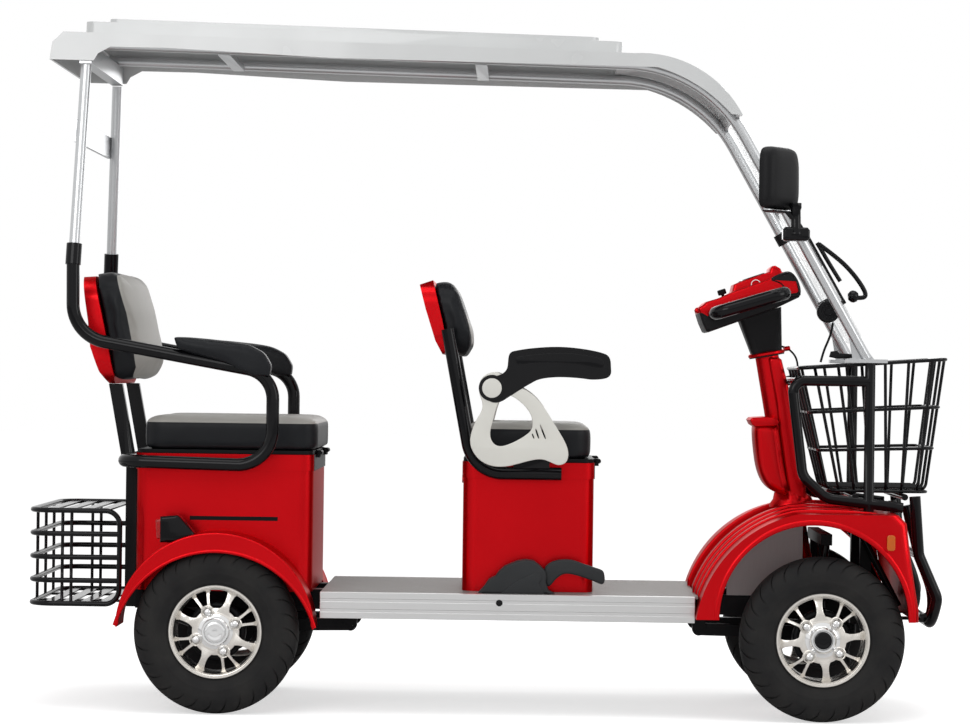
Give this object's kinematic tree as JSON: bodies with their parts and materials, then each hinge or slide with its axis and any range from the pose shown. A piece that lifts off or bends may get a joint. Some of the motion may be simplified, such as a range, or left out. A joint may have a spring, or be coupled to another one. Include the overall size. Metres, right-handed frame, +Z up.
{
  "type": "electric mobility scooter",
  "caption": "Roofed electric mobility scooter with tandem bench seats on storage boxes, tiller steering, alloy road wheels, wire baskets, posts and a clear windshield.",
  "frame": {"origin": "on the floor, under the middle of the whole scooter", "axes": "+X forward, +Y to the vehicle's left, +Z up"},
  "size_m": [2.288, 0.8298, 1.7246],
  "materials": {
    "red_paint": "gloss candy red",
    "white_gloss": "gloss white",
    "silver_metal": "satin silver",
    "alloy": "machined and polished",
    "black_steel": "gloss black",
    "dark_steel": "satin black",
    "tyre_rubber": "matt black",
    "black_vinyl": "satin black",
    "vinyl_pad": "satin, black with a light grey panel",
    "black_plastic": "matt black",
    "frame_white": "satin off-white",
    "lamp_plastic": "gloss red and amber",
    "clear_glass": "clear",
    "deck_grey": "ribbed satin",
    "battery_case": "matt dark grey"
  },
  "bodies": {
    "scooter_body": {"chassis_frame": "dark_steel", "deck_panel": "deck_grey", "deck_rails": "silver_metal", "rear_box": "red_paint", "front_box": "red_paint", "battery": "battery_case", "rear_fenders": "red_paint", "front_cowl": "red_paint", "arch_liners": "black_plastic", "lamps": "lamp_plastic", "rear_basket": "black_steel", "rear_seat_frame": "black_steel", "rear_armrests": "black_vinyl", "rear_backrest_shell": "red_paint", "rear_backrest_pad": "vinyl_pad", "column_tube": "red_paint", "column_cover": "red_paint", "front_basket": "black_steel", "basket_frame": "black_steel", "bumper": "black_steel", "roof_shell": "white_gloss", "roof_frame": "silver_metal", "rear_posts": "silver_metal", "windshield": "clear_glass", "wiper": "black_plastic", "mirrors": "black_plastic", "rear_axle": "dark_steel", "dampers": "dark_steel", "front_axle": "dark_steel", "foot_controls": "black_plastic"},
    "rear_seat_lid": {"rear_lid": "black_plastic", "rear_cushion": "black_vinyl"},
    "front_seat": {"front_lid": "black_plastic", "front_cushion": "black_vinyl", "front_backrest_shell": "red_paint", "front_backrest_pad": "vinyl_pad", "front_seat_tubes": "black_steel", "armrest_frames": "frame_white"},
    "right_armrest": {"armrest_right": "black_plastic"},
    "left_armrest": {"armrest_left": "black_plastic"},
    "steering": {"steering_shaft": "black_plastic", "console": "red_paint", "handle_loops": "black_plastic"},
    "right_knuckle": {"knuckle_right": "dark_steel"},
    "left_knuckle": {"knuckle_left": "dark_steel"},
    "steering_rod": {"track_rod": "dark_steel"},
    "wheel_rear_right": {"tyre_rear_right": "tyre_rubber", "rim_rear_right": "alloy"},
    "wheel_rear_left": {"tyre_rear_left": "tyre_rubber", "rim_rear_left": "alloy"},
    "wheel_front_right": {"tyre_front_right": "tyre_rubber", "rim_front_right": "alloy"},
    "wheel_front_left": {"tyre_front_left": "tyre_rubber", "rim_front_left": "alloy"}
  },
  "joints": [
    {"name": "rear_right_wheel_spin", "type": "hinge", "parent": "scooter_body", "child": "wheel_rear_right", "pos_m": [-0.666, -0.295, 0.203], "axis": [0, 1, 0], "continuous": true},
    {"name": "rear_left_wheel_spin", "type": "hinge", "parent": "scooter_body", "child": "wheel_rear_left", "pos_m": [-0.666, 0.295, 0.203], "axis": [0, 1, 0], "continuous": true},
    {"name": "front_right_wheel_spin", "type": "hinge", "parent": "right_knuckle", "child": "wheel_front_right", "pos_m": [0.824, -0.295, 0.203], "axis": [0, 1, 0], "continuous": true},
    {"name": "front_left_wheel_spin", "type": "hinge", "parent": "left_knuckle", "child": "wheel_front_left", "pos_m": [0.824, 0.295, 0.203], "axis": [0, 1, 0], "continuous": true},
    {"name": "steer", "type": "hinge", "parent": "scooter_body", "child": "steering", "pos_m": [0.824, 0, 0.2205], "axis": [-0.1736, 0, 0.9848], "range_deg": [-27, 27]},
    {"name": "right_knuckle_turn", "type": "hinge", "parent": "scooter_body", "child": "right_knuckle", "pos_m": [0.824, -0.215, 0.203], "axis": [0, 0, 1], "range_deg": [-27, 27]},
    {"name": "left_knuckle_turn", "type": "hinge", "parent": "scooter_body", "child": "left_knuckle", "pos_m": [0.824, 0.215, 0.203], "axis": [0, 0, 1], "range_deg": [-27, 27]},
    {"name": "steering_rod_turn", "type": "hinge", "parent": "left_knuckle", "child": "steering_rod", "pos_m": [0.904, 0.215, 0.2275], "axis": [0, 0, 1], "range_deg": [-27, 27]},
    {"name": "rear_seat_lid_hinge", "type": "hinge", "parent": "scooter_body", "child": "rear_seat_lid", "pos_m": [-0.426, 0, 0.641], "axis": [0, 1, 0], "range_deg": [0, 70]},
    {"name": "front_seat_hinge", "type": "hinge", "parent": "scooter_body", "child": "front_seat", "pos_m": [0.274, 0, 0.629], "axis": [0, 1, 0], "range_deg": [0, 60]},
    {"name": "right_armrest_hinge", "type": "hinge", "parent": "front_seat", "child": "right_armrest", "pos_m": [0.005, -0.267, 0.81], "axis": [0, -1, 0], "range_deg": [0, 85]},
    {"name": "left_armrest_hinge", "type": "hinge", "parent": "front_seat", "child": "left_armrest", "pos_m": [0.005, 0.267, 0.81], "axis": [0, -1, 0], "range_deg": [0, 85]}
  ],
  "couplings": [
    {"joint": "right_knuckle_turn", "follows": "steer", "ratio": 1},
    {"joint": "left_knuckle_turn", "follows": "steer", "ratio": 1},
    {"joint": "steering_rod_turn", "follows": "steer", "ratio": -1}
  ]
}
